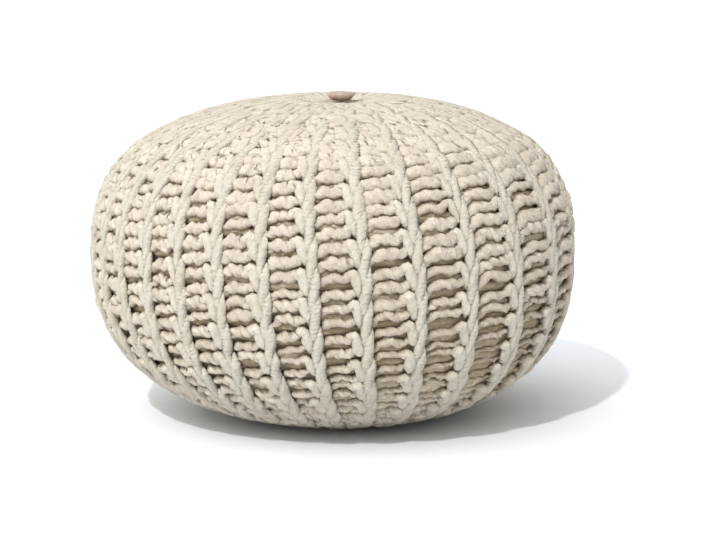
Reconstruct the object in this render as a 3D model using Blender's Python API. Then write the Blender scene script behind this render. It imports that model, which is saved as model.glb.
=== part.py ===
"""Knitted pouf: one filled body in a hand-knitted, ribbed cover, with a small
rounded button in the drawn-in centre of its top. Metres, +Z up. The pouf stands
on z = 0 with its axis on the origin, and its front faces -Y."""

import math

import bmesh
import bpy

# Driving dimensions of the filled body.
DIAMETER = 0.500            # across the crests of the ribs at the waist
CROWN_HEIGHT = 0.330        # top of the knit above the floor
WAIST_HEIGHT = 0.172        # height of the widest ring
CROWN_SQUARENESS = 2.5      # exponent of the upper profile: 2 is an ellipse, more is squarer
BASE_SQUARENESS = 2.46      # exponent of the lower profile
BASE_SINK = 1.020           # the lower profile would reach this far down, but rests flat on the floor
POLE_SHIFT = 0.008          # the knit is gathered this far towards +X of the axis

# Ribs of the knit, which run from the centre of the top to the centre of the base.
RIBS = 30
POINTS_PER_RIB = 4
RIB_RELIEF = 0.006          # from the bottom of a channel to the crest of a rib
RIB_CROWDING = 0.27         # ribs stand closer together on -X than on +X by this share
RIB_PINCH = 0.052           # and a little closer at the front and the back than at the sides
RIB_LEAN = math.radians(4.0)    # the base is turned this far one way and the top the other way
RIB_PHASE = math.radians(3.9)
RINGS = 24
RING_CROWDING = 1.3         # more than 1 gathers the rings towards the two centres

# The drawn-in centre of the top, and the button that sits in it.
SEAT_RADIUS = 0.0150
DIMPLE_RADIUS = 0.062
DIMPLE_DEPTH = 0.0067
BUTTON_RADIUS = 0.0138
BUTTON_BOWL = 0.0067        # height from the button's small foot up to its widest ring
BUTTON_DOME = 0.0032        # height of the rounded top above that ring
BUTTON_SQUARENESS = 0.55    # 1 is a round dome, less is a flatter top with a tighter edge
BOWL_SQUARENESS = 0.80      # the same for the bowl underneath
GAP = 0.0003                # between the button and the knit

IVORY = (0.72, 0.66, 0.55)
DUSTY_BROWN = (0.42, 0.29, 0.22)


def smooth_step(low, high, value):
    share = min(max((value - low) / (high - low), 0.0), 1.0)
    return share * share * (3.0 - 2.0 * share)


def rib_angle(turn, polar):
    """Where an evenly counted direction falls, once the ribs crowd together and lean."""
    even = turn + RIB_PHASE
    crowded = even + RIB_CROWDING * math.sin(even)
    return crowded + RIB_PINCH * math.sin(2.0 * crowded) - RIB_LEAN * math.cos(polar)


def rib_relief(turn):
    """Height of the knit over its channels: 1 on a rib's crest, 0 between ribs."""
    wave = 0.5 + 0.5 * math.cos(RIBS * turn)
    return wave * wave


def body_point(polar, turn):
    """A point of the filled body: polar runs from 0 at the top to pi at the base,
    and turn counts the ribs round the axis."""
    share = math.sin(polar) ** RING_CROWDING
    angle = rib_angle(turn, polar)
    radius = (DIAMETER / 2 - RIB_RELIEF) * share
    if polar < math.pi / 2:
        crown = (1.0 - share ** CROWN_SQUARENESS) ** (1.0 / CROWN_SQUARENESS)
        height = WAIST_HEIGHT + (CROWN_HEIGHT - WAIST_HEIGHT) * crown
        height -= DIMPLE_DEPTH * (1.0 - smooth_step(SEAT_RADIUS, DIMPLE_RADIUS, radius))
    else:
        depth = (1.0 - share ** BASE_SQUARENESS) ** (1.0 / BASE_SQUARENESS)
        height = max(WAIST_HEIGHT * (1.0 - BASE_SINK * depth), 0.0)
    fade = smooth_step(SEAT_RADIUS, DIAMETER / 5, radius) * smooth_step(0.0, WAIST_HEIGHT / 2, height)
    raised = RIB_RELIEF * rib_relief(turn) * fade
    radius += raised * share
    height += raised * math.cos(polar) * (1.0 - share)
    shift = POLE_SHIFT * (1.0 - share * share)
    return (radius * math.cos(angle) + shift, radius * math.sin(angle), height)


def cloth_material(name, colour, roughness):
    material = bpy.data.materials.new(name)
    material.use_nodes = True
    shader = material.node_tree.nodes["Principled BSDF"]
    shader.inputs["Base Color"].default_value = (*colour, 1.0)
    shader.inputs["Roughness"].default_value = roughness
    shader.inputs["Metallic"].default_value = 0.0
    return material


def add_object(name, mesh_cage, material, collection):
    mesh = bpy.data.meshes.new(name)
    mesh_cage.to_mesh(mesh)
    mesh_cage.free()
    mesh.shade_smooth()
    mesh.materials.append(material)
    piece = bpy.data.objects.new(name, mesh)
    collection.objects.link(piece)
    return piece


def make_knitted_cover(collection):
    """The cover and its filling, as one solid: a sphere cage drawn to the pouf's shape."""
    cage = bmesh.new()
    bmesh.ops.create_uvsphere(cage, u_segments=RIBS * POINTS_PER_RIB, v_segments=RINGS, radius=1.0)
    for vertex in cage.verts:
        polar = math.acos(max(-1.0, min(1.0, vertex.co.z)))
        turn = math.atan2(vertex.co.y, vertex.co.x)
        vertex.co = body_point(polar, turn)
    bmesh.ops.recalc_face_normals(cage, faces=cage.faces)
    cotton = cloth_material("cotton_cord", IVORY, 0.9)
    return add_object("knitted_cover", cage, cotton, collection)


def make_crown_button(collection):
    """A rounded button, bowl-shaped underneath, that sits in the drawn-in centre on a small foot."""
    cage = bmesh.new()
    bmesh.ops.create_uvsphere(cage, u_segments=24, v_segments=12, radius=1.0)
    for vertex in cage.verts:
        turn = math.atan2(vertex.co.y, vertex.co.x)
        share = math.hypot(vertex.co.x, vertex.co.y)
        if vertex.co.z > 0.0:
            radius = BUTTON_RADIUS * share ** BUTTON_SQUARENESS
            height = BUTTON_BOWL + BUTTON_DOME * vertex.co.z
        else:
            radius = BUTTON_RADIUS * share ** BOWL_SQUARENESS
            height = BUTTON_BOWL * max(1.0 + 1.06 * vertex.co.z, 0.0)
        vertex.co = (radius * math.cos(turn), radius * math.sin(turn), height)
    bmesh.ops.recalc_face_normals(cage, faces=cage.faces)
    button = add_object("crown_button", cage, cloth_material("button_cloth", DUSTY_BROWN, 0.85), collection)
    button.location = (POLE_SHIFT, 0.0, CROWN_HEIGHT - DIMPLE_DEPTH + GAP)
    return button


for old in list(bpy.data.objects):
    bpy.data.objects.remove(old)
pouf = bpy.data.collections.new("knitted_pouf")
bpy.context.scene.collection.children.link(pouf)
make_knitted_cover(pouf)
make_crown_button(pouf)
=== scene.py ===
# %% [markdown]
# # A knitted pouf, cord by cord
# A pouf like this is a round, firmly filled body in a cover knitted by hand from thick
# cotton cord. The knit is a fisherman's rib: thirty columns of V-shaped stitches run
# from the centre of the top to the centre of the base, and between them the cord crosses
# from column to column in bars, like the rungs of a ladder. This lesson follows that
# order of work. One rule gives the shape of the filled body, another says where each
# cord runs over it, and a single Geometry Nodes tree turns every cord's path into a
# twisted, slightly lumpy strand.

# %% The frame that everything is built on
import math

import bpy
import numpy as np
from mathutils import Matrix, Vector


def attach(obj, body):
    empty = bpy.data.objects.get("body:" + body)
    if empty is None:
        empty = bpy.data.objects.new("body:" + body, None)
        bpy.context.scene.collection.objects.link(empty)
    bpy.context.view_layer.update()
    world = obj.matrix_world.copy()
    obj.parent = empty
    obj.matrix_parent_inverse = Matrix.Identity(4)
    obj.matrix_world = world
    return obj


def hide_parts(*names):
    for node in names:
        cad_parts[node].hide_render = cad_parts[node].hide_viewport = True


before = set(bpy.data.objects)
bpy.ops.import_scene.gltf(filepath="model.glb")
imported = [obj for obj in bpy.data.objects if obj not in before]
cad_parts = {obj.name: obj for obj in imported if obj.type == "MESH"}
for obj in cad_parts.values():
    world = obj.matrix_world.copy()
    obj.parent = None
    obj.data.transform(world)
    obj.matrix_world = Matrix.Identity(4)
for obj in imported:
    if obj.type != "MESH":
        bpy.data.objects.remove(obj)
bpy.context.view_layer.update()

FULL_TURN = 2 * math.pi


def add_object(name, data):
    """Puts a mesh, a lamp or a camera into the scene."""
    thing = bpy.data.objects.new(name, data)
    bpy.context.scene.collection.objects.link(thing)
    return thing


# %% [markdown]
# ## The camera
# A long lens, a little above the waist of the pouf, keeps the outline round and shows
# only a sliver of the top. The aim is set from the height of the body, and both camera
# and aim move sideways together, so the pouf sits slightly left of the middle of the
# frame with no lens shift.

# %% Camera
CAMERA_DISTANCE = 2.8
CAMERA_ELEVATION = math.radians(9.5)
CAMERA_LENS = 135.9     # millimetres, behind which the sensor is 36 wide
AIM = Vector((0.0257, 0.0, 0.1477))

lens = bpy.data.cameras.new("camera")
lens.sensor_width = 36.0
lens.lens = CAMERA_LENS
lens.clip_end = 60.0
camera = add_object("camera", lens)
camera.location = AIM + CAMERA_DISTANCE * Vector(
    (0.0, -math.cos(CAMERA_ELEVATION), math.sin(CAMERA_ELEVATION)))
camera.rotation_euler = (math.pi / 2 - CAMERA_ELEVATION, 0.0, 0.0)
bpy.context.scene.camera = camera
print("camera at", [round(v, 3) for v in camera.location])

# %% [markdown]
# ## Nodes, in a few helpers
# Shader trees and geometry trees are built the same way: add a node, set it, link it.
# One helper does that for both. A small class stands for a value inside a tree, so a sum
# is written as a sum, and each sign in it adds the Math node that a hand would place.

# %% Helpers for node trees
class Value:
    """A value inside a node tree. A sum of numbers written with it becomes Math nodes."""

    def __init__(self, tree, socket):
        self.tree = tree
        self.socket = socket

    def __add__(self, other):
        return maths("ADD", self, other)

    def __sub__(self, other):
        return maths("SUBTRACT", self, other)

    def __mul__(self, other):
        return maths("MULTIPLY", self, other)

    def __truediv__(self, other):
        return maths("DIVIDE", self, other)

    def __radd__(self, other):
        return maths("ADD", other, self)

    def __rsub__(self, other):
        return maths("SUBTRACT", other, self)

    def __rmul__(self, other):
        return maths("MULTIPLY", other, self)

    def __rtruediv__(self, other):
        return maths("DIVIDE", other, self)


def add_node(tree, kind, inputs=None, **settings):
    """Adds a node. An input may be given a plain value or a Value of the same tree."""
    node = tree.nodes.new(kind)
    for name, setting in settings.items():
        setattr(node, name, setting)
    for name, given in (inputs or {}).items():
        if isinstance(given, Value):
            tree.links.new(given.socket, node.inputs[name])
        else:
            node.inputs[name].default_value = given
    return node


def value_of(tree, kind, output, inputs=None, **settings):
    """One output of a new node."""
    return Value(tree, add_node(tree, kind, inputs, **settings).outputs[output])


def maths(operation, first, second=0.0):
    """A Math node's result."""
    tree = (first if isinstance(first, Value) else second).tree
    return value_of(tree, "ShaderNodeMath", 0, {0: first, 1: second}, operation=operation)


def reach(vector, direction):
    """How far a vector reaches in a direction."""
    inputs = {0: vector, 1: direction}
    return value_of(vector.tree, "ShaderNodeVectorMath", "Value", inputs, operation="DOT_PRODUCT")


def noise(place, scale, detail=3.0, roughness=0.5):
    """Soft noise, from 0 to 1, that depends on nothing but the place."""
    inputs = {"Vector": place, "Scale": scale, "Detail": detail, "Roughness": roughness}
    return value_of(place.tree, "ShaderNodeTexNoise", "Fac", inputs)


def new_group(kind, name, takes, gives):
    """A node group with named inputs and outputs, and its inputs as Values."""
    group = bpy.data.node_groups.new(name, kind)
    for title, sort, default in takes:
        socket = group.interface.new_socket(title, in_out="INPUT", socket_type="NodeSocket" + sort)
        if default is not None:
            socket.default_value = default
    for title, sort in gives:
        group.interface.new_socket(title, in_out="OUTPUT", socket_type="NodeSocket" + sort)
    outputs = add_node(group, "NodeGroupInput").outputs
    return group, {title: Value(group, outputs[title]) for title, _, _ in takes}


# %% [markdown]
# ## Studio: floor, light and air
# The floor is a wide, plain, pale disc. A strong, nearly direct lamp stands in front, a
# little to the left and about forty-five degrees up. It brightens the top of each bar,
# shades its underside, and lays one clear, pale shadow behind the pouf and to its right.
# A surround that is brightest above and to the left fills in the rest, so the knit stays
# readable, and only the lower right of the pouf is darker.

# %% Floor and light
FLOOR_RADIUS = 14.0
FLOOR_SIDES = 96


def make_floor(colour):
    turns = [FULL_TURN * n / FLOOR_SIDES for n in range(FLOOR_SIDES)]
    edge = [(FLOOR_RADIUS * math.cos(turn), FLOOR_RADIUS * math.sin(turn), 0.0) for turn in turns]
    mesh = bpy.data.meshes.new("studio_floor")
    mesh.from_pydata(edge, [], [tuple(range(FLOOR_SIDES))])
    matt = bpy.data.materials.new("studio_floor")
    matt.use_nodes = True
    shader = matt.node_tree.nodes["Principled BSDF"]
    shader.inputs["Base Color"].default_value = (*colour, 1.0)
    shader.inputs["Roughness"].default_value = 1.0
    mesh.materials.append(matt)
    floor = add_object("studio_floor", mesh)


def add_direct_lamp(towards, power, softness):
    lamp = bpy.data.lights.new("direct_lamp", "SUN")
    lamp.energy = power
    lamp.angle = softness
    holder = add_object("direct_lamp", lamp)
    holder.rotation_euler = Vector(towards).to_track_quat("Z", "Y").to_euler()


def make_surround(even, glow, brightest, focus):
    """A soft surround: even light, and a broad glow round its brightest side."""
    world = bpy.data.worlds.new("soft_surround")
    bpy.context.scene.world = world
    world.use_nodes = True
    tree = world.node_tree
    facing = reach(value_of(tree, "ShaderNodeTexCoord", "Generated"), Vector(brightest).normalized())
    strength = even + glow * maths("POWER", maths("MAXIMUM", facing, 0.0), focus)
    background = tree.nodes["Background"]
    background.inputs["Color"].default_value = (0.98, 0.99, 1.0, 1.0)
    tree.links.new(strength.socket, background.inputs["Strength"])


make_floor(colour=(0.865, 0.88, 0.90))
add_direct_lamp(towards=(-0.38, -0.935, 1.0), power=1.65, softness=math.radians(2.0))
make_surround(even=0.45, glow=1.68, brightest=(-0.44, -0.20, 0.87), focus=2.2)
bpy.context.scene.view_settings.view_transform = "Standard"
print("studio ready")

# %% [markdown]
# ## The shape of the filled body
# Filled cloth takes a rounded, squashed form: broad at the waist, full below it, flat
# only where it stands. It could be sculpted or simulated, but the rule here is the one
# that the solid model follows, so the knit lies exactly on that solid. A point is named
# by how far down it is, from pole to pole, and by a turn that counts the ribs evenly; the
# ribs stand closer on one side, as hand knitting does.

# %% Shape rule
DIAMETER = 0.500
CROWN_HEIGHT = 0.330
WAIST_HEIGHT = 0.172
CROWN_SQUARENESS = 2.5
BASE_SQUARENESS = 2.46
BASE_SINK = 1.020
POLE_SHIFT = 0.008
RING_CROWDING = 1.3
SEAT_RADIUS = 0.0150
DIMPLE_RADIUS = 0.062
DIMPLE_DEPTH = 0.0067
RIBS = 30
RIB_CROWDING = 0.27
RIB_PINCH = 0.052
RIB_LEAN = math.radians(4.0)
RIB_PHASE = math.radians(3.9)


def smooth_step(low, high, value):
    share = np.clip((value - low) / (high - low), 0.0, 1.0)
    return share * share * (3.0 - 2.0 * share)


def body_point(polar, turn):
    """Points of the body's outside, which the crests of the knit touch."""
    share = np.clip(np.sin(polar), 0.0, 1.0) ** RING_CROWDING
    even = turn + RIB_PHASE
    crowded = even + RIB_CROWDING * np.sin(even)
    angle = crowded + RIB_PINCH * np.sin(2.0 * crowded) - RIB_LEAN * np.cos(polar)
    radius = DIAMETER / 2 * share
    crown = (1.0 - share ** CROWN_SQUARENESS) ** (1.0 / CROWN_SQUARENESS)
    base = (1.0 - share ** BASE_SQUARENESS) ** (1.0 / BASE_SQUARENESS)
    dimple = DIMPLE_DEPTH * (1.0 - smooth_step(SEAT_RADIUS, DIMPLE_RADIUS, radius))
    upper = WAIST_HEIGHT + (CROWN_HEIGHT - WAIST_HEIGHT) * crown - dimple
    lower = np.maximum(WAIST_HEIGHT * (1.0 - BASE_SINK * base), 0.0)
    height = np.where(polar < math.pi / 2, upper, lower)
    shift = POLE_SHIFT * (1.0 - share * share)
    return np.stack([radius * np.cos(angle) + shift, radius * np.sin(angle), height], axis=-1)


print("centre of the top at", np.round(body_point(0.0, 0.0), 4))

# %% [markdown]
# ## Counting courses
# Knitting is counted in courses, one row of cord after another, and each course is the
# same height wherever it lies. So the meridian is measured once, and a table turns a
# course number into a place on it. Every cord below is then described the way a knitter
# would: so many millimetres sideways from a rib, so many courses down, and so far above
# or below the crest.

# %% Courses
COURSE = 0.0151     # metres from one bar of the knit to the next
FIRST_RING = 0.017  # metres down the meridian, where the knit starts at the button
PROBE = 0.003       # a small turn, for measuring directions and distances on the body

polar_table = np.linspace(0.0, math.pi, 6001)
meridian = body_point(polar_table, np.full_like(polar_table, math.pi / 2 - RIB_PHASE))
steps = np.linalg.norm(np.diff(meridian, axis=0), axis=1)
length_table = np.concatenate([[0.0], np.cumsum(steps)])
COURSES = int((length_table[-1] - 2 * FIRST_RING) / COURSE)
print("meridian", round(length_table[-1], 4), "m,", COURSES, "courses")


def unit(vectors):
    return vectors / np.maximum(np.linalg.norm(vectors, axis=-1, keepdims=True), 1e-12)


def on_body(turn, course):
    """The point, the outward direction and the metres per turn there."""
    polar = np.interp(FIRST_RING + course * COURSE, length_table, polar_table)
    point = body_point(polar, turn)
    across = (body_point(polar, turn + PROBE) - body_point(polar, turn - PROBE)) / (2 * PROBE)
    lower = np.clip(polar + PROBE, 0.0, math.pi)
    higher = np.clip(polar - PROBE, 0.0, math.pi)
    down = body_point(lower, turn) - body_point(higher, turn)
    return point, unit(np.cross(down, across)), np.linalg.norm(across, axis=-1)


# %% [markdown]
# ## How use and filling change the knit
# One knit looks different from place to place. Sitting has pressed it flat on the crown,
# round the shoulder it is packed tight, below the waist the filling stretches it, most
# where the ribs stand far apart, and at the turn of the base it bulges again. These
# shares, from 0 to 1, say where each holds, and every rule below blends by them, so no
# border shows.

# %% Where the knit is loose, pressed or stretched
TYPICAL_ROOM = 0.046    # metres between ribs, over most of the pouf
ROOM_SPREAD = 0.011     # and how much that differs from place to place


def openness(course):
    """0 where the knit is packed tight, in the upper half, and 1 where it is stretched, below."""
    return smooth_step(0.40, 0.70, course / COURSES)


def settled(course):
    """1 on the crown, where use has pressed the knit flat, and 0 from the shoulder down."""
    return 1.0 - smooth_step(0.25, 0.38, course / COURSES)


def underneath(course):
    """0 down to the turn of the base, and 1 where the pouf stands on its knit."""
    return smooth_step(0.57, 0.78, course / COURSES)


def rib_room(turn, course):
    """Metres between neighbouring ribs."""
    return on_body(turn, course)[2] * FULL_TURN / RIBS


def stretch(room, loose):
    """How much wider than usual the stretched knit is pulled: from -1 to 1."""
    return np.clip((room - TYPICAL_ROOM) / ROOM_SPREAD, -1.0, 1.0) * loose


every_course = np.arange(COURSES)
for region in (settled, openness, underneath):
    print(region.__name__, "on", int((region(every_course) > 0.5).sum()), "courses")

# %% [markdown]
# ## Smooth paths from a few points
# Each cord is drawn with five to thirteen points, and each point has seven numbers: how
# far it is on the way from its own rib to the next, millimetres sideways from there,
# courses down, radius, height over the crest line, how deep the twist of its two plies
# shows, and how much it is pulled smooth, as cord in a rib is. A Catmull-Rom curve passes
# through all the points. Its weights are the same for every cord of a kind, so one matrix
# multiplies hundreds of cords at once, and the rings of a cord stand at even distances
# along it, so no bend is left with too few.

# %% Paths
WAY, SIDEWAYS, DOWN, RADIUS, LIFT, TWIST, PULL = range(7)


def through_points(points, rings):
    """The matrix that turns values at the points into values at the rings, smoothly. The
    distances along a cord are measured on the average of all cords."""
    across = points[..., WAY] * 1000 * TYPICAL_ROOM + points[..., SIDEWAYS]
    spans = np.hypot(np.diff(across), 1000 * COURSE * np.diff(points[..., DOWN]))
    reached = np.concatenate([[0.0], np.cumsum(spans.mean(axis=0))])
    count = points.shape[1]
    places = np.interp(np.linspace(0.0, reached[-1], rings), reached, np.arange(count))
    first = np.minimum(places.astype(int), count - 2)
    u = places - first
    weights = np.zeros((rings, count))
    blends = (
        -0.5 * u + u * u - 0.5 * u ** 3,
        1.0 - 2.5 * u * u + 1.5 * u ** 3,
        0.5 * u + 2.0 * u * u - 1.5 * u ** 3,
        -0.5 * u * u + 0.5 * u ** 3,
    )
    for offset, blend in zip((-1, 0, 1, 2), blends):
        np.add.at(weights, (np.arange(rings), np.clip(first + offset, 0, count - 1)), blend)
    return weights


# %% [markdown]
# ## What a path carries
# The tree that sweeps a cord can only work with what is stored on the path. So each ring
# of a path knows its thickness, how plainly its twist shows, which ways are out, down and
# upright there, and how strongly and to what height the knit is pressed. On the crown
# everything is pressed nearly flat, and the bars a little lower than the ribs. Elsewhere
# ribs are pressed more than bars, and both more where the knit is packed.

# %% Cords as arrays
CREST = 0.0022          # full-size cord is laid this far further out, and pressed back by as much
CROWN_PRESS = 0.94      # share of its height over the pressed level that a cord loses there
STANDING = 0.7          # a cord's centre lies at least this share of its radius above the floor


def keep_on_points(mesh, title, values):
    """Stores a number, or a direction, on each point of a mesh."""
    values = np.asarray(values, dtype=np.float32).reshape(len(mesh.vertices), -1)
    kind, field = ("FLOAT_VECTOR", "vector") if values.shape[1] == 3 else ("FLOAT", "value")
    mesh.attributes.new(title, kind, "POINT").data.foreach_set(field, values.ravel())


class Cords:
    """Paths of many cords of one kind, as arrays of cords by rings."""

    def __init__(self, turn, course, lift, thick, twist, pull, tone, scale):
        surface, out, _ = on_body(turn, course)
        self.centre = surface + out * (lift + CREST * scale)[..., None]
        self.centre[..., 2] = np.maximum(self.centre[..., 2], STANDING * thick)
        ahead = unit(np.gradient(self.centre, axis=1))
        packed = 1.0 - openness(course)
        press = 0.15 + 0.45 * pull + (0.40 - 0.26 * pull) * packed
        below_ribs = 0.0010 * (1.0 - pull) + 0.0004 * tone[:, None]
        spans = np.linalg.norm(np.diff(self.centre, axis=1), axis=-1)
        along = np.concatenate([np.zeros((len(lift), 1)), np.cumsum(spans, axis=1)], axis=1)
        # A cord that is stretched further than most has as many turns of twist as they have.
        along *= np.minimum(1.0, np.quantile(along[:, -1], 0.7) / along[:, -1:])
        self.count, rings = lift.shape
        self.values = {
            "out": out, "upright": unit(out - ahead * np.sum(out * ahead, axis=-1, keepdims=True)),
            "down": unit(on_body(turn, course + 0.1)[0] - surface),
            "thick": thick, "lift": lift, "twist": twist, "pull": pull, "along": along,
            "press": np.maximum(CROWN_PRESS * settled(course), press),
            "level": -(CREST + 0.0008 * packed + below_ribs * settled(course)) * scale,
            "tone": np.repeat(tone[:, None], rings, axis=1),
            "share": np.repeat(np.linspace(0.0, 1.0, rings)[None, :], self.count, axis=0),
        }

    def path_mesh(self, name, rows):
        """Bare edges for the chosen cords, with what the sweep needs on their points."""
        rings = self.centre.shape[1]
        first = np.arange(len(rows) * rings).reshape(len(rows), rings)
        edges = np.stack([first[:, :-1].ravel(), first[:, 1:].ravel()], axis=1)
        mesh = bpy.data.meshes.new(name)
        mesh.from_pydata(self.centre[rows].reshape(-1, 3).tolist(), edges.tolist(), [])
        for title, values in self.values.items():
            keep_on_points(mesh, title, values[rows])
        keep_on_points(mesh, "cord_number", np.repeat(np.arange(len(rows)), rings))
        return mesh


# %% [markdown]
# ## One rule for every cord
# All cords are laid by one rule, and only their lists of points differ. Seeded chance
# shifts every point a little, and ribs wander a little sideways, since this is handwork.
# Near the two centres the ribs run together, so one scale, worked out from the room
# between ribs, shrinks stitch and cord there. On the crown and under the base cord that
# is pressed spreads, so it is laid fuller and higher.

# %% Cords from a rule
FULL_RIB = 0.0175       # a rib is drawn at full width where ribs are at least this far apart
NARROWEST_RIB = 0.12    # share of the full width, at the two centres
THINNEST_CORD = 0.3     # share of the full thickness, at the two centres
CORD_OVER_RIB = 1.32    # towards the centres a cord's share is this many times its rib's

rng = np.random.default_rng(20)
rib_turn = FULL_TURN * np.arange(RIBS) / RIBS
rib_phase = rng.normal(0.0, 0.10, RIBS)
rib_sway_size = rng.uniform(0.6, 1.6, RIBS)
rib_sway_start = rng.uniform(0.0, FULL_TURN, RIBS)
rib_sway_length = rng.uniform(9.0, 15.0, RIBS)
STITCHES = COURSES // 2
print(STITCHES, "stitches in a rib, which wanders", round(rib_sway_size.max(), 1), "mm at most")


def rib_scale(turn, course):
    """How wide a stitch is drawn, as a share of its full width."""
    return np.clip(rib_room(turn, course) / FULL_RIB, NARROWEST_RIB, 1.0)


def rib_sway(rib, course):
    """Millimetres that a hand-knitted rib wanders to one side."""
    wave = np.sin(FULL_TURN * course / rib_sway_length[rib] + rib_sway_start[rib])
    return rib_sway_size[rib] * wave


def lay_cords(points, rings, rib, start):
    """Cords from arrays of points: cords by points by the seven numbers."""
    weights = through_points(points, rings)
    way, sideways, down, radius, lift, twist, pull = (points[..., n] @ weights.T for n in range(7))
    course = start[:, None] + down
    turn = rib_turn[rib][:, None] + np.clip(way, 0.0, 1.0) * FULL_TURN / RIBS
    scale = rib_scale(turn, course)
    rib = rib[:, None]
    sway = rib_sway(rib, course) * (1.0 - way) + rib_sway((rib + 1) % RIBS, course) * way
    turn = turn + (sideways + sway) * scale / 1000 / on_body(turn, course)[2]
    cord_scale = np.clip(scale * CORD_OVER_RIB, THINNEST_CORD, 1.0)
    tone = np.random.default_rng(len(rib)).random(len(rib))
    flat, loose, under = (part(course) for part in (settled, openness, underneath))
    # The twist shows more on some cords than on others, and hardly at all on the crown.
    twist = twist * (1.0 - 0.8 * flat) * (0.54 + 0.40 * tone[:, None])
    # Cord in a rib is fullest and stands highest on the crown and under the base.
    radius = radius * (1.0 + pull * (0.14 - 0.07 * loose + 0.25 * flat + 0.18 * under))
    lift = lift + (1.2 + 1.5 * pull) * flat + 2.0 * pull * under
    pull = np.clip(pull, 0.0, 1.0) * (1.0 - 0.5 * flat)
    thick = np.maximum(radius, 0.6) * cord_scale / 1000
    return Cords(turn, course, lift * cord_scale / 1000, thick, twist, pull, tone, cord_scale)


def repeat_rule(rule, cords, seed, sideways, down, thickness, lift):
    """The rule's points for many cords, each point shifted by seeded chance."""
    chance = np.random.default_rng(seed)
    points = np.repeat(np.array(rule)[None], cords, axis=0)
    points[..., SIDEWAYS] += chance.normal(0.0, sideways, points.shape[:2])
    points[..., DOWN] += chance.normal(0.0, down, points.shape[:2])
    points[..., RADIUS] *= chance.normal(1.0, thickness, points.shape[:2])
    points[..., RADIUS] *= chance.normal(1.0, thickness, (cords, 1))
    points[..., LIFT] += chance.normal(0.0, lift, points.shape[:2])
    return points, chance


# %% [markdown]
# ## The ribs: right legs
# A stitch of a rib is a V. Its right leg lies on top: it starts as a thin tip at the
# upper right, swells, runs down and a little to the left, and dives under the stitch
# after next. Each stitch spans two courses, because in fisherman's rib every second bar
# is caught up with the next. One leg could be modelled and copied, but equal copies look
# like a machine's work, so every leg is laid from the rule with chances of its own.

# %% Right legs
RIGHT_LEG = [
    # way, sideways, down, radius, lift, twist, pull
    (0.0, 7.7, -0.10, 1.0, -5.8, 0.2, 1.0),
    (0.0, 7.1, 0.30, 2.7, -4.9, 0.2, 1.0),
    (0.0, 5.8, 0.75, 4.3, -4.5, 0.2, 1.0),
    (0.0, 4.0, 1.35, 4.9, -4.6, 0.2, 1.0),
    (0.0, 2.3, 2.00, 4.8, -4.9, 0.2, 1.0),
    (0.0, 1.0, 2.55, 4.3, -5.5, 0.2, 1.0),
    (0.0, 0.0, 3.00, 3.2, -6.9, 0.2, 1.0),
    (0.0, -0.6, 3.30, 1.9, -9.2, 0.2, 1.0),
]
grids = np.meshgrid(np.arange(RIBS), np.arange(STITCHES), indexing="ij")
rib_number, stitch_number = (grid.ravel() for grid in grids)
stitch_shift = rng.normal(0.0, 0.08, rib_number.size)
stitch_start = 2.0 * stitch_number + rib_phase[rib_number] + stitch_shift
right_points, _ = repeat_rule(
    RIGHT_LEG, rib_number.size, seed=31, sideways=0.35, down=0.03, thickness=0.05, lift=0.25)
right_legs = lay_cords(right_points, 14, rib_number, stitch_start)
print(right_legs.count, "stitches in", RIBS, "ribs")

# %% [markdown]
# ## The bars
# Between two ribs the cord crosses in bars. A bar comes out from under the rib on its
# left, rises, hangs a few millimetres below the crests, and ends in the rib on its
# right. Every second bar turns there and becomes the left leg of a stitch: it climbs to
# a rounded shoulder, bends over, and runs down beside the right leg. The bar between is
# tucked under that leg. Bar and leg are one list of points, since they are one cord.

# %% Points of a bar
BAR = [
    (0.00, 4.5, 0.46, 3.0, -11.5, 0.7, 0.0),
    (0.00, 9.2, 0.36, 3.9, -10.8, 0.9, 0.0),
    (0.20, 4.6, 0.07, 5.2, -9.1, 1.0, 0.0),
    (0.45, 0.0, -0.07, 5.5, -8.7, 1.0, 0.0),
    (0.75, -6.0, -0.02, 5.4, -8.4, 1.0, 0.0),
]
LEG_END = [
    (1.00, -13.8, -0.12, 5.3, -7.7, 0.8, 0.2),
    (1.00, -10.8, -0.30, 5.2, -6.5, 0.5, 0.5),
    (1.00, -8.2, -0.38, 4.9, -5.6, 0.3, 0.8),
    (1.00, -6.4, -0.12, 4.7, -5.1, 0.2, 1.0),
    (1.00, -5.1, 0.26, 4.5, -4.9, 0.2, 1.0),
    (1.00, -4.0, 0.64, 4.0, -5.3, 0.2, 1.0),
    (1.00, -3.2, 0.96, 2.8, -7.2, 0.2, 1.0),
    (1.00, -2.4, 1.22, 1.6, -10.0, 0.2, 1.0),
]
TUCKED_END = [
    (1.00, -12.5, -0.08, 5.0, -8.4, 0.9, 0.1),
    (1.00, -8.6, -0.20, 4.2, -8.0, 0.7, 0.4),
    (1.00, -5.0, -0.26, 2.6, -8.8, 0.5, 0.6),
]
print(len(BAR + LEG_END), "points in a bar with its leg,", len(BAR + TUCKED_END), "in a tucked bar")

# %% [markdown]
# ## Packed above, stretched below
# Over the crown and the shoulder the bars are swollen and packed against each other.
# Lower down the filling stretches the knit: bars thin out, sag, and open gaps between
# them, and they lie deepest where the ribs stand far apart. One set of points cannot be
# both, so the same points are shifted by where on the pouf the bar lies.

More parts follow.
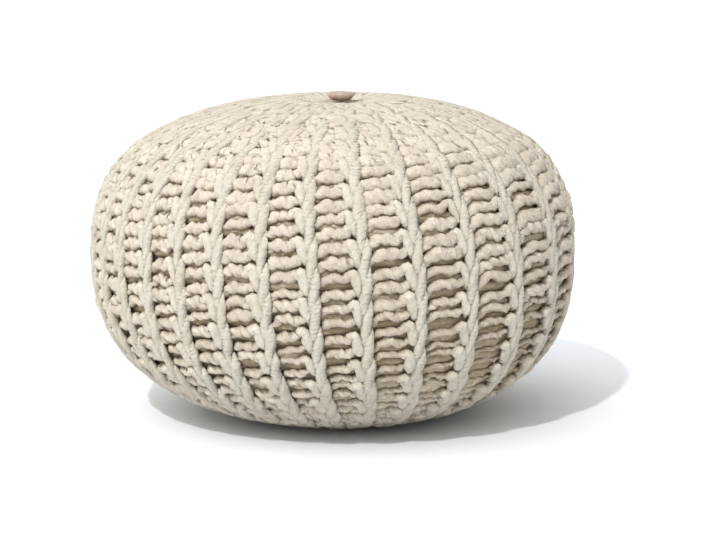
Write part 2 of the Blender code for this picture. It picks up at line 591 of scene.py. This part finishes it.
# %% Loosening the bars
def loosen(points, start, rib, chance):
    """Packs the bars together above and stretches them apart below."""
    loose, flat, under = (part(start)[:, None] for part in (openness, settled, underneath))
    room = rib_room(rib_turn[rib] + math.pi / RIBS, start)[:, None]
    crossing = points[..., PULL] < 0.5
    out_of_rib = points[..., WAY] > 0.1
    wide = stretch(room, loose)
    under = under * np.clip(0.6 + wide, 0.0, 1.0)
    # On the crown the middle of a bar is raised and swollen, but not its start at the rib.
    rise = 1.2 * (1.0 - loose) + np.where(out_of_rib, 2.0, -2.6) * flat - 0.8 * under
    rise = rise - np.where(wide > 0.0, 2.0, 1.0) * wide
    points[..., LIFT] += np.where(crossing, rise, 0.0)
    swollen = 1.12 - 0.43 * loose + np.where(out_of_rib, 0.66, 0.05) * flat - 0.15 * under - 0.24 * wide
    points[..., RADIUS] *= np.where(crossing, swollen, 1.0)
    # Its start comes out further from the rib there, if the ribs leave it the room.
    points[:, :3, SIDEWAYS] += 2.0 * flat * np.clip((room - 0.027) / 0.012, 0.0, 1.0)
    points[..., RADIUS] *= np.where(crossing, chance.normal(1.0, 0.07, (len(start), 1)), 1.0)
    # A long bar dips and climbs more than a short one, and each hangs or rises by chance.
    dip = np.clip((room / 0.050) ** 2, 0.4, 1.6)
    points[..., DOWN] *= np.where((points[..., WAY] < 0.9) & crossing, dip, 1.0)
    middle = np.sin(math.pi * np.clip(points[..., WAY], 0.0, 1.0))
    points[..., DOWN] -= chance.normal(0.05, 0.11, (len(start), 1)) * middle * (0.4 + loose)
    shifted = chance.normal(0.0, 0.07, (len(start), 1)) * (0.4 + loose + under)
    points[..., DOWN] += np.where(crossing, shifted, 0.0)
    # Where ribs stand close, a bar is short, and no point of it may lie beyond the next.
    across = 1000 * room * points[..., WAY] + points[..., SIDEWAYS]
    order = 0.7 * np.arange(points.shape[1])
    across = np.minimum.accumulate((across - order)[:, ::-1], axis=1)[:, ::-1] + order
    points[..., SIDEWAYS] = across - 1000 * room * points[..., WAY]
    return points


# %% [markdown]
# ## Slack stitches
# No hand knits every stitch equally tight. Some left legs of the lower half are slack:
# they hang out beside the rib as short, thick stubs. Chance picks about three in ten.

# %% Slack legs
SLACK_SHARE = 0.30      # of the left legs; they are less slack where the knit is tighter
STUB = np.array([0.0, 0.3, 0.8, 1.0, 1.0])      # how far a slack leg's last five points give way


def slacken_legs(points, start, chance):
    """Lets some left legs of the lower half hang out as thick stubs."""
    slack = (chance.random(len(start)) < SLACK_SHARE) * chance.uniform(0.4, 1.0, len(start))
    slack *= openness(start) * (1.0 - underneath(start))
    slack = slack[:, None]
    points[:, -5:, SIDEWAYS] -= 2.4 * slack * STUB
    points[:, -5:, RADIUS] *= 1.0 + 0.20 * slack * (1.0 + STUB)
    points[:, -5:, LIFT] += 2.4 * slack * STUB
    return points


# %% [markdown]
# ## Laying the bars
# Bars that carry a leg and tucked bars take turns, one course apart. Close to the two
# centres the ribs touch and leave no room for bars, so those are left out.

# %% Bars between the ribs
BAR_BELOW_TIP = 0.72    # courses from the tip of a right leg down to the bar that makes its left leg
NARROWEST_BAR = 0.0185  # metres between ribs, below which there is no room for a bar
before = (rib_number - 1) % RIBS


def room_for(rib, start):
    """Whether a bar from that rib has room there."""
    return rib_room(rib_turn[rib] + math.pi / RIBS, start) > NARROWEST_BAR


def make_bars(rule, rings, start, seed, slack_legs):
    keep = room_for(before, start)
    points, chance = repeat_rule(
        rule, int(keep.sum()), seed, sideways=0.3, down=0.035, thickness=0.08, lift=0.3)
    points = loosen(points, start[keep], before[keep], chance)
    if slack_legs:
        points = slacken_legs(points, start[keep], chance)
    return lay_cords(points, rings, before[keep], start[keep])


carrying_start = stitch_start + BAR_BELOW_TIP
tucked_start = carrying_start + 1.0 + rng.normal(0.0, 0.06, stitch_start.size)
carrying_bars = make_bars(BAR + LEG_END, 30, carrying_start, seed=41, slack_legs=True)
tucked_bars = make_bars(BAR + TUCKED_END, 18, tucked_start, seed=42, slack_legs=False)
print(carrying_bars.count, "bars that make a leg,", tucked_bars.count, "tucked bars")

# %% [markdown]
# ## Bars of the back
# The cover is as thick as two cords. Behind every gap between two bars lies a bar of the
# knit's other face, and it is what shows, in shade, where the front bars are pulled
# apart. It lies nearer the surface where the knit is packed and at the turn of the base.
# On the crown no gap is left, so none is laid there.

# %% Bars of the back
BACK_BAR = [
    (0.00, 3.0, 0.55, 5.0, -17.0, 0.3, 0.0),
    (0.25, 2.0, 0.50, 5.8, -16.8, 0.4, 0.0),
    (0.50, 0.0, 0.45, 6.0, -16.7, 0.4, 0.0),
    (0.75, -2.0, 0.47, 5.8, -16.8, 0.4, 0.0),
    (1.00, -3.0, 0.50, 5.0, -17.0, 0.3, 0.0),
]
back_start = np.concatenate([carrying_start, tucked_start])
back_rib = np.concatenate([before, before])
behind = room_for(back_rib, back_start) & (settled(back_start) < 0.9)
back_start, back_rib = back_start[behind], back_rib[behind]
back_points, _ = repeat_rule(
    BACK_BAR, back_start.size, seed=43, sideways=0.3, down=0.05, thickness=0.06, lift=0.4)
nearer = 2.5 * (1.0 - openness(back_start)) + 3.0 * underneath(back_start)
back_points[..., LIFT] += nearer[:, None]
back_bars = lay_cords(back_points, 10, back_rib, back_start)
print(back_bars.count, "bars of the back")

# %% [markdown]
# ## Left legs without a bar
# Near the two centres the ribs touch, and a left leg has no bar to come from. There it
# starts as a tip of its own, and then follows the points of every other left leg.

# %% Left legs near the centres
LEFT_LEG = [
    (0.0, -7.6, -0.55, 1.5, -6.0, 0.2, 1.0),
    (0.0, -6.4, -0.10, 3.6, -4.8, 0.2, 1.0),
] + [(0.0, *point[1:]) for point in LEG_END[4:]]
alone = ~room_for(before, carrying_start)
left_points, _ = repeat_rule(
    LEFT_LEG, int(alone.sum()), seed=32, sideways=0.35, down=0.03, thickness=0.05, lift=0.25)
left_legs = lay_cords(left_points, 11, rib_number[alone], carrying_start[alone])
print(left_legs.count, "left legs without a bar")

# %% [markdown]
# ## From path to cord, in Geometry Nodes
# Every path is now swept into cord by one tree. Curves with a bevel could do the sweep,
# but not the plies and the pressing, so the tree goes further, in five stages. A small
# class passes the geometry from one node to the next, so a stage reads as a list.

# %% Steps of a geometry tree
class GeometrySteps:
    """A Geometry Nodes tree, written as steps that each change one geometry."""

    def __init__(self, tree, shape):
        self.tree = tree
        self.shape = shape

    def step(self, kind, inputs=None, **settings):
        """One more node. The geometry enters its first socket and leaves by its first."""
        self.shape = value_of(self.tree, kind, 0, {0: self.shape, **(inputs or {})}, **settings)

    def read(self, name, kind="FLOAT"):
        """A value that is stored on the points."""
        inputs = {"Name": name}
        return value_of(self.tree, "GeometryNodeInputNamedAttribute", "Attribute", inputs, data_type=kind)

    def store(self, name, value, kind="FLOAT"):
        inputs = {"Name": name, "Value": value}
        self.step("GeometryNodeStoreNamedAttribute", inputs, data_type=kind, domain="POINT")

    def spot(self):
        """Where each point is at that moment."""
        return value_of(self.tree, "GeometryNodeInputPosition", "Position")

    def from_centre(self):
        """The way from the cord's centre line to each point."""
        inputs = {0: self.spot(), 1: self.read("centre", "FLOAT_VECTOR")}
        return value_of(self.tree, "ShaderNodeVectorMath", "Vector", inputs, operation="SUBTRACT")

    def push(self, direction, distance):
        """Moves every point some way in a direction."""
        inputs = {0: direction, "Scale": distance}
        offset = value_of(self.tree, "ShaderNodeVectorMath", "Vector", inputs, operation="SCALE")
        self.step("GeometryNodeSetPosition", {"Offset": offset})

    def vector(self, x, y, z):
        return value_of(self.tree, "ShaderNodeCombineXYZ", "Vector", {"X": x, "Y": y, "Z": z})


# %% [markdown]
# ### Stage 1: a round skin
# A circle is swept along the path. The curve's tilt turns it steadily, as cord is laid,
# and each cord starts at another turn and is laid a little tighter or looser.

# %% Stage 1: skin
def sweep_circle(cord, given):
    tree = cord.tree
    circle = {"Resolution": given["Sides"], "Radius": 1.0}
    profile = GeometrySteps(
        tree, value_of(tree, "GeometryNodeCurvePrimitiveCircle", "Curve", circle, mode="RADIUS"))
    profile.store("around", value_of(tree, "GeometryNodeInputIndex", "Index") / given["Sides"])
    cord.step("GeometryNodeMeshToCurve")
    cord.store("centre", cord.spot(), "FLOAT_VECTOR")
    upright = cord.read("upright", "FLOAT_VECTOR")
    cord.step("GeometryNodeSetCurveNormal", {"Normal": upright}, mode="FREE")
    firmness = 0.8 + 0.4 * cord.read("tone")
    turns = cord.read("along") * firmness / given["Lay"] + 7.0 * cord.read("tone")
    cord.step("GeometryNodeSetCurveTilt", {"Tilt": turns * FULL_TURN})
    cord.step("GeometryNodeCurveToMesh", {
        "Profile Curve": profile.shape, "Scale": cord.read("thick"), "Fill Caps": True})


# %% [markdown]
# ### Stage 2: two plies
# Cord is two plies wound round each other. Seen end on, that is two round lobes side by
# side, further from the centre than the valley between them, so each point is pushed out
# or in by where it is on the circle.

# %% Stage 2: plies
def press_out_plies(cord, given):
    circle = cord.read("around") * FULL_TURN
    spread = given["Ply Spread"] * cord.read("twist")
    beside = maths("ABSOLUTE", maths("COSINE", circle)) * spread
    valley = maths("SINE", circle) * spread
    rounding = maths("SQRT", 1.0 - valley * valley)
    average = 1.0 + 0.4 * spread
    cord.push(cord.from_centre(), (beside + rounding) / average - 1.0)


# %% [markdown]
# ### Stage 3: lumps and dents
# Soft cotton is never even. Noise at two sizes moves the skin in and out, and does so
# less where the knit is pressed.

# %% Stage 3: lumps
def add_lumps(cord, given):
    softness = 2.2 - 2.0 * cord.read("press")
    outward = value_of(cord.tree, "GeometryNodeInputNormal", "Normal")
    for kind in ("Lump", "Dent"):
        bumps = noise(cord.spot(), 1.0 / given[kind + " Size"], detail=1.0) - 0.5
        cord.push(outward, bumps * given[kind + " Height"] * softness)


# %% [markdown]
# ### Stage 4: pressed by use
# What stands higher than the pressed level is pushed back towards it, as on a seat that
# is used, and nothing goes through the floor.

# %% Stage 4: press
def height_over_crests(cord):
    """Height of each point over the crest line, which is negative for nearly all."""
    return cord.read("lift") + reach(cord.from_centre(), cord.read("out", "FLOAT_VECTOR"))


def press_flat(cord):
    over = maths("MAXIMUM", height_over_crests(cord) - cord.read("level"), 0.0)
    cord.push(cord.read("out", "FLOAT_VECTOR"), over * cord.read("press") * -1.0)
    place = add_node(cord.tree, "ShaderNodeSeparateXYZ", {0: cord.spot()}).outputs
    x, y, z = (Value(cord.tree, place[axis]) for axis in "XYZ")
    cord.step("GeometryNodeSetPosition", {"Position": cord.vector(x, y, maths("MAXIMUM", z, 0.0))})


# %% [markdown]
# ### Stage 5: what the finish needs
# The finish paints shade into hollows, so each point stores how deep it lies, in the knit or below
# its own cord's top, whichever is deeper. The lower side of a bar counts as deeper still,
# so painted shade lies along the underside of each bar. A second value follows the yarn,
# along and around the cord, for the fibres to run with.

# %% Stage 5: depth and yarn, and the whole tree
# Painted shade: each cord's sides darken soon below its own top, and a bar's underside darker still.
OWN_TOP = 0.0038        # a cord's own top counts as this deep, so its sides darken soon below it
UNDERSIDE_SHADE = 0.0026        # how much deeper the lowest line of a bar counts


def store_finish_values(cord):
    thick, height = cord.read("thick"), height_over_crests(cord)
    top = maths("MINIMUM", cord.read("lift") + thick, cord.read("level"))
    below_top = height - top - OWN_TOP
    lower = reach(cord.from_centre(), cord.read("down", "FLOAT_VECTOR")) / thick
    lower = maths("MAXIMUM", lower, 0.0)
    # Painted shade along the lower side of each bar, and none on cord pulled into a rib.
    underside_shade = lower * lower * (UNDERSIDE_SHADE * (1.0 - cord.read("pull")))
    cord.store("depth", maths("MINIMUM", height, below_top) - underside_shade)
    circle = cord.read("around") * FULL_TURN
    along = cord.read("along") + cord.read("cord_number")
    yarn = cord.vector(thick * maths("COSINE", circle), thick * maths("SINE", circle), along)
    cord.store("yarn", yarn, "FLOAT_VECTOR")


def make_sweep_tree():
    tree, given = new_group("GeometryNodeTree", "Sweep Cord", [
        ("Paths", "Geometry", None), ("Ply Spread", "Float", 0.47), ("Lay", "Float", 0.021),
        ("Lump Height", "Float", 0.0014), ("Lump Size", "Float", 0.010),
        ("Dent Height", "Float", 0.0013), ("Dent Size", "Float", 0.0056),
        ("Sides", "Int", 11), ("Cotton", "Material", None),
    ], [("Cords", "Geometry")])
    cord = GeometrySteps(tree, given["Paths"])
    sweep_circle(cord, given)
    press_out_plies(cord, given)
    add_lumps(cord, given)
    press_flat(cord)
    store_finish_values(cord)
    cord.step("GeometryNodeSetShadeSmooth", domain="FACE")
    cord.step("GeometryNodeRealizeInstances")
    cord.step("GeometryNodeSetMaterial", {"Material": given["Cotton"]})
    add_node(tree, "NodeGroupOutput", {"Cords": cord.shape})
    return tree


sweep_tree = make_sweep_tree()
print("sweep tree with", len(sweep_tree.nodes), "nodes")

# %% [markdown]
# ## The finish: shared effects
# Three effects finish the raw cotton cord: fine fibres that run with the
# twist, a faint blotchiness from undyed yarn, and painted shade that darkens the hollows.
# Each is a node group with its own inputs, placed in both cloth materials below with
# values of their own. A painted image would do for one pouf; groups do for any.

# %% Shader groups
def object_place(tree):
    return value_of(tree, "ShaderNodeTexCoord", "Object")


def ramp(value, low, high, top=1.0):
    """0 at low, rising evenly to the top value at high."""
    inputs = {"Value": value, "From Min": low, "From Max": high, "To Min": 0.0, "To Max": top}
    return value_of(value.tree, "ShaderNodeMapRange", "Result", inputs, clamp=True)


def mix_colours(share, first, second):
    """The first colour where the share is 0, and the second where it is 1."""
    return value_of(share.tree, "ShaderNodeMix", 2, {0: share, 6: first, 7: second}, data_type="RGBA")


def make_fibre_group():
    """Fine fibres along the yarn and soft tufts between them, as a height."""
    group, given = new_group("ShaderNodeTree", "Cotton Fibre", [
        ("Yarn", "Vector", None), ("Fineness", "Float", 1.0), ("Tufts", "Float", 0.5),
    ], [("Height", "Float")])
    inputs = {0: given["Yarn"], 1: (1.0, 1.0, 0.2)}
    drawn_out = value_of(group, "ShaderNodeVectorMath", "Vector", inputs, operation="MULTIPLY")
    fibres = noise(drawn_out, 480.0 * given["Fineness"], detail=4.0, roughness=0.65)
    tufts = noise(object_place(group), 220.0 * given["Fineness"])
    add_node(group, "NodeGroupOutput", {"Height": tufts * given["Tufts"] + fibres})
    return group


def make_blotch_group():
    """Undyed yarn: a light and a dark tone, mixed at two sizes."""
    group, given = new_group("ShaderNodeTree", "Cotton Blotch", [
        ("Light", "Color", (0.8, 0.75, 0.65, 1.0)), ("Dark", "Color", (0.7, 0.62, 0.5, 1.0)),
        ("Size", "Float", 0.02), ("Tone", "Float", 0.5),
    ], [("Color", "Color")])
    place = object_place(group)
    scale = 1.0 / given["Size"]
    mixed = 1.2 * noise(place, scale) + 0.4 * given["Tone"] + 1.1 * noise(place, 7.0 * scale)
    colour = mix_colours(ramp(mixed, 1.0, 1.7), given["Dark"], given["Light"])
    add_node(group, "NodeGroupOutput", {"Color": colour})
    return group


def make_hollow_shade_group():
    """Paints shade on what lies deep in the knit, with an uneven edge."""
    group, given = new_group("ShaderNodeTree", "Knit Hollow", [
        ("Color", "Color", None), ("Hollow", "Color", (0.2, 0.16, 0.1, 1.0)), ("Depth", "Float", 0.0),
        ("Crest", "Float", -0.0048), ("Floor", "Float", -0.0106), ("Strength", "Float", 0.6),
    ], [("Color", "Color")])
    uneven = noise(object_place(group), 190.0) - 0.5
    share = ramp(0.006 * uneven + given["Depth"], given["Crest"], given["Floor"], given["Strength"])
    colour = mix_colours(share, given["Color"], given["Hollow"])
    add_node(group, "NodeGroupOutput", {"Color": colour})
    return group


FIBRE = make_fibre_group()
BLOTCH = make_blotch_group()
HOLLOW_SHADE = make_hollow_shade_group()
print("effects:", FIBRE.name, BLOTCH.name, HOLLOW_SHADE.name)

# %% [markdown]
# ## The finish: cloth
# Any cloth here is rough, hardly glossy and faintly furry. Its colour comes from the
# blotches, darkened by painted shade in the hollows, and its fibres are fine enough for a
# bump, while all that is larger is real shape. These helpers hold what the two materials share.

# %% Helpers for cloth
def cloth_material(name, roughness, specular, sheen):
    """A rough, faintly furry cloth, still without its colour and its fibres."""
    material = bpy.data.materials.new(name)
    material.use_nodes = True
    shader = material.node_tree.nodes["Principled BSDF"]
    shader.inputs["Roughness"].default_value = roughness
    shader.inputs["Specular IOR Level"].default_value = specular
    shader.inputs["Sheen Weight"].default_value = sheen
    shader.inputs["Sheen Roughness"].default_value = 0.5
    return material


def attribute(tree, title, output="Fac"):
    """A value that the mesh stores on its points."""
    return value_of(tree, "ShaderNodeAttribute", output, attribute_name=title)


def effect(tree, group, inputs):
    """A shared effect, placed in a material with values of its own."""
    return value_of(tree, "ShaderNodeGroup", 0, inputs, node_tree=group)


def finish_cloth(material, colour, fibres, strength, height):
    """Feeds the colour, and the fibres as a bump, into the cloth's shader."""
    tree = material.node_tree
    shader = tree.nodes["Principled BSDF"]
    inputs = {"Height": fibres, "Strength": strength, "Distance": height}
    bump = value_of(tree, "ShaderNodeBump", "Normal", inputs)
    tree.links.new(colour.socket, shader.inputs["Base Color"])
    tree.links.new(bump.socket, shader.inputs["Normal"])


# %% [markdown]
# ## The cotton
# The bars show a warmer, pinkish cream and the ribs a cooler ivory, since the ribs are
# pulled smooth and catch the light differently. Two materials would meet at a line where
# a bar turns into a leg, so one recipe holds both and mixes them by how much the cord is
# pulled.

# %% Cotton material
def make_cotton():
    cotton = cloth_material("cord_cotton", roughness=0.92, specular=0.25, sheen=0.15)
    tree = cotton.node_tree
    tone = attribute(tree, "tone")
    bar = effect(tree, BLOTCH, {
        "Light": (0.785, 0.70, 0.575, 1.0), "Dark": (0.65, 0.56, 0.445, 1.0), "Tone": tone})
    rib = effect(tree, BLOTCH, {
        "Light": (0.755, 0.695, 0.58, 1.0), "Dark": (0.65, 0.58, 0.47, 1.0), "Tone": tone})
    # Painted shade: the deeper a point lies in the knit, the more of this dark brown it takes.
    colour = effect(tree, HOLLOW_SHADE, {
        "Color": mix_colours(attribute(tree, "pull"), bar, rib), "Hollow": (0.35, 0.270, 0.160, 1.0),
        "Depth": attribute(tree, "depth"), "Strength": 0.93})
    fibres = effect(tree, FIBRE, {"Yarn": attribute(tree, "yarn", "Vector"), "Tufts": 1.2})
    finish_cloth(cotton, colour, fibres, strength=0.9, height=0.0030)
    return cotton


cord_cotton = make_cotton()
print("cotton material ready")

# %% [markdown]
# ## Making the cords
# The tree runs as a modifier, and its result is kept as a plain mesh. Each cord then
# gets its own rectangle of a texture map, along by around, so the finish can be stored
# without stretching. Unwrapping so many cords by their seams would be slow and uneven.
# Faces that close the map's seam are told apart by how far they reach round the cord.

# %% A texture map for cords
CAP_STRIP = 0.06        # share of a cord's rectangle at each end, where its cap lies
SIDE_MARGIN = 0.05      # and the empty share along each side
CAP_RADIUS = 0.02


def read_all(items, field, kind):
    values = np.zeros(len(items), dtype=kind)
    items.foreach_get(field, values)
    return values


def lay_out_map(mesh):
    corners = read_all(mesh.loops, "vertex_index", np.int32)
    starts = read_all(mesh.polygons, "loop_start", np.int32)
    sizes = read_all(mesh.polygons, "loop_total", np.int32)
    around, share, cord = (
        read_all(mesh.attributes[title].data, "value", np.float32)[corners].astype(float)
        for title in ("around", "share", "cord_number"))
    cord = np.round(cord)
    face = np.repeat(np.arange(len(sizes)), sizes)
    spread = np.maximum.reduceat(around, starts) - np.minimum.reduceat(around, starts)
    cap = sizes > 4
    seam = (spread > 0.5) & ~cap
    around = np.where(seam[face] & (around < 0.5), around + 1.0, around)
    across = CAP_STRIP + (1.0 - 2.0 * CAP_STRIP) * share
    up = SIDE_MARGIN + (1.0 - 2.0 * SIDE_MARGIN) * around
    end = np.where(share < 0.5, CAP_STRIP / 2, 1.0 - CAP_STRIP / 2)
    across = np.where(cap[face], end + CAP_RADIUS * np.cos(FULL_TURN * around), across)
    up = np.where(cap[face], 0.5 + CAP_RADIUS * np.sin(FULL_TURN * around), up)
    columns = math.ceil(math.sqrt(cord.max() + 1))
    places = np.stack([(cord % columns + across) / columns, (cord // columns + up) / columns], axis=1)
    layer = mesh.uv_layers.new(name="OFBake")
    layer.data.foreach_set("uv", places.astype(np.float32).ravel())


# %% [markdown]
# ## Sweeping the pieces
# Cords of one kind make one piece, or two where one would hold too many triangles. The
# ribs are swept with fewer sides and softer dents, since their cord is pulled smooth, and
# the bars of the back hardly need their twist.

# %% Sweep into pieces
WORKING_VALUES = (
    "out", "upright", "down", "centre", "thick", "along", "lift", "share", "around", "cord_number",
    "twist", "press", "level", "custom_normal", "tilt", "normal_mode",
)


def sweep(cords, name, rows, **settings):
    """One piece: the chosen cords, swept, mapped and kept as a plain mesh."""
    paths = cords.path_mesh(name + "_paths", rows)
    piece = add_object(name, paths)
    modifier = piece.modifiers.new("Sweep Cord", "NODES")
    modifier.node_group = sweep_tree
    identifiers = {item.name: item.identifier for item in sweep_tree.interface.items_tree}
    modifier[identifiers["Cotton"]] = cord_cotton
    for title, value in settings.items():
        modifier[identifiers[title.replace("_", " ").title()]] = value
    evaluated = piece.evaluated_get(bpy.context.evaluated_depsgraph_get())
    mesh = bpy.data.meshes.new_from_object(evaluated)
    piece.modifiers.remove(modifier)
    piece.data = mesh
    bpy.data.meshes.remove(paths)
    mesh.name = name
    lay_out_map(mesh)
    for title in [item.name for item in mesh.attributes if item.name in WORKING_VALUES]:
        mesh.attributes.remove(mesh.attributes[title])
    triangles = sum(len(face.vertices) - 2 for face in mesh.polygons)
    print(name, len(mesh.vertices), "points", triangles, "triangles")
    return piece


def sweep_halves(cords, name, **settings):
    first, second = np.array_split(np.arange(cords.count), 2)
    return [sweep(cords, name + "_1", first, **settings), sweep(cords, name + "_2", second, **settings)]


def sweep_all(cords, name, **settings):
    return [sweep(cords, name, np.arange(cords.count), **settings)]


knit = sweep_halves(carrying_bars, "carrying_bars")
knit += sweep_halves(tucked_bars, "tucked_bars")
knit += sweep_all(right_legs, "right_legs", sides=10, dent_height=0.0010)
knit += sweep_all(left_legs, "left_legs", sides=10, dent_height=0.0010)
knit += sweep_all(back_bars, "back_bars", sides=8, lay=0.20)

# %% [markdown]
# ## The filled body inside
# Behind the two layers of cord is the lining, pressed outwards by the filling. It is one
# closed, padded form, a little inside the knit all over. A shrunken copy of the solid
# would do, but the lining shows between the bars: it comes nearer the surface where the
# knit is pressed flat on the crown, bulges where the bars are stretched and at the turn
# of the base, and leaves a dark pit beside the right edge of each rib.

# %% Filled body
LINING_DEPTH = 0.0125       # from the crests to the lining, where the knit is loose
PRESSED_DEPTH = 0.0026      # and where it is pressed flat, on the crown
RIB_PIT = 0.0046            # deeper than that beside the right edge of each rib
LOWEST_LINING = 0.003       # above the floor
LINING_RINGS = 90
SIDES_PER_RIB = 4
LINING_SHADE = -0.0092      # how deep the finish takes the lining to lie, and so how dark it is
POLE_SHADE = -0.006


def closed_form(name, rings, top, bottom):
    """A smooth closed mesh from rings of points, with one point in the middle of each end."""
    count, sides = rings.shape[:2]
    number = np.arange(count * sides).reshape(count, sides)
    after = np.roll(number, -1, axis=1)
    quads = np.stack([number[:-1], number[1:], after[1:], after[:-1]], axis=-1)
    faces = quads.reshape(-1, 4).tolist()
    faces += [(count * sides, int(a), int(b)) for a, b in zip(number[0], after[0])]
    faces += [(count * sides + 1, int(b), int(a)) for a, b in zip(number[-1], after[-1])]
    mesh = bpy.data.meshes.new(name)
    mesh.from_pydata(rings.reshape(-1, 3).tolist() + [tuple(top), tuple(bottom)], [], faces)
    mesh.shade_smooth()
    return mesh


def make_filled_body():
    course = np.linspace(-FIRST_RING, length_table[-1] - FIRST_RING, LINING_RINGS)[1:-1] / COURSE
    side = np.arange(RIBS * SIDES_PER_RIB)
    courses, turns = np.meshgrid(course, FULL_TURN * side / side.size, indexing="ij")
    point, out, _ = on_body(turns, courses)
    flat, under = settled(courses), underneath(courses)
    wide = np.maximum(stretch(rib_room(turns, courses), openness(courses)), 0.0)
    beside = (side % SIDES_PER_RIB == 1) * flat
    depth = LINING_DEPTH + (PRESSED_DEPTH - LINING_DEPTH) * flat + RIB_PIT * beside
    depth -= np.maximum(0.0075 * under, 0.0035 * wide)
    point = point - out * (depth * np.clip(rib_scale(turns, courses), 0.5, 1.0))[..., None]
    point[..., 2] = np.maximum(point[..., 2], LOWEST_LINING)
    mesh = closed_form("filled_body", point, point[0].mean(axis=0), point[-1].mean(axis=0))
    # Painted shade: the lining is dark where the knit is loose, darkest in the pits beside the ribs, and
    # lighter on the crown, under the base and where the knit is stretched.
    shade = LINING_SHADE + 0.0058 * (flat - beside) + np.maximum(0.0034 * under, 0.0012 * wide)
    keep_on_points(mesh, "depth", np.append(shade, [POLE_SHADE, POLE_SHADE]))
    keep_on_points(mesh, "tone", np.full(len(mesh.vertices), 0.5))
    keep_on_points(mesh, "pull", np.full(len(mesh.vertices), 0.3))
    mesh.materials.append(cord_cotton)
    print("filled body", len(mesh.polygons), "faces")
    return add_object("filled_body", mesh)


filled_body = make_filled_body()

# %% [markdown]
# ## The button
# In the drawn-in centre of the top sits a small plug of brushed, dusty pinkish cloth. Its
# cloth is gathered underneath, so faint folds run over the edge, and its nap is uneven.
# It could be simulated cloth over a core, but one turned outline with folds laid over it
# is enough, since it is so small.

# %% Button
BUTTON_RADIUS = 0.0136
BUTTON_BOWL = 0.0068        # from its foot up to its widest ring
BUTTON_DOME = 0.0032        # from there to the top
BUTTON_DISH = 0.0008        # the middle of the top sinks in by this much
BUTTON_RINGS = 34
BUTTON_SIDES = 90
FOLDS = {11: 1.0, 15: 0.7, 5: 0.8, 3: 0.7}      # how many run round the button: how strong they are
SEAT_GAP = 0.0002
SEAT = CROWN_HEIGHT - DIMPLE_DEPTH + SEAT_GAP   # height of its foot


def make_button_mesh():
    polar = np.linspace(0.0, math.pi, BUTTON_RINGS + 1)[1:-1]
    turn = np.linspace(0.0, FULL_TURN, BUTTON_SIDES, endpoint=False)
    polars, turns = np.meshgrid(polar, turn, indexing="ij")
    above = polars < math.pi / 2
    share = np.sin(polars)
    folds = np.zeros_like(turns)
    starts = np.random.default_rng(7).uniform(0.0, FULL_TURN, len(FOLDS))
    for (count, size), start in zip(FOLDS.items(), starts):
        folds += size * np.cos(count * turns + start) * share ** 2
    radius = BUTTON_RADIUS * share ** np.where(above, 0.55, 0.80) * (1.0 + 0.022 * folds)
    height = BUTTON_BOWL + np.where(above, BUTTON_DOME, BUTTON_BOWL) * np.cos(polars)
    height += above * (0.00035 * folds - BUTTON_DISH * (1.0 - smooth_step(0.15, 0.6, share)))
    x, y, z = POLE_SHIFT + radius * np.cos(turns), radius * np.sin(turns), SEAT + height
    top = SEAT + BUTTON_BOWL + BUTTON_DOME - BUTTON_DISH
    rings = np.stack([x, y, z], axis=-1)
    mesh = closed_form("button_plug", rings, (POLE_SHIFT, 0.0, top), (POLE_SHIFT, 0.0, SEAT))
    # How far below its top each point lies, which the finish turns into painted shade.
    keep_on_points(mesh, "depth", np.append(z, [top, SEAT]) - top)
    return mesh


def button_cloth():
    cloth = cloth_material("brushed_cloth", roughness=0.95, specular=0.2, sheen=0.3)
    tree = cloth.node_tree
    blotch = effect(tree, BLOTCH, {
        "Light": (0.60, 0.485, 0.39, 1.0), "Dark": (0.31, 0.22, 0.155, 1.0), "Size": 0.009})
    # Painted shade: the plug darkens from its top down to its foot.
    colour = effect(tree, HOLLOW_SHADE, {
        "Color": blotch, "Hollow": (0.15, 0.085, 0.06, 1.0), "Depth": attribute(tree, "depth"),
        "Crest": -0.0040, "Floor": -0.0080, "Strength": 0.85})
    fibres = effect(tree, FIBRE, {"Yarn": object_place(tree), "Fineness": 2.0})
    finish_cloth(cloth, colour, fibres, strength=0.8, height=0.0015)
    return cloth


button_mesh = make_button_mesh()
button_mesh.materials.append(button_cloth())
button_plug = add_object("button_plug", button_mesh)
print("button", len(button_mesh.polygons), "faces")

# %% [markdown]
# ## Riding the frame
# Every piece moves with the one body of the pouf and stands for the plain solid of the
# same part.

for piece in knit:
    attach(piece, "root")
    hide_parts("knitted_cover")
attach(filled_body, "root")
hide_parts("knitted_cover")
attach(button_plug, "root")
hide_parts("crown_button")
print(len(knit) + 2, "pieces ride the frame")
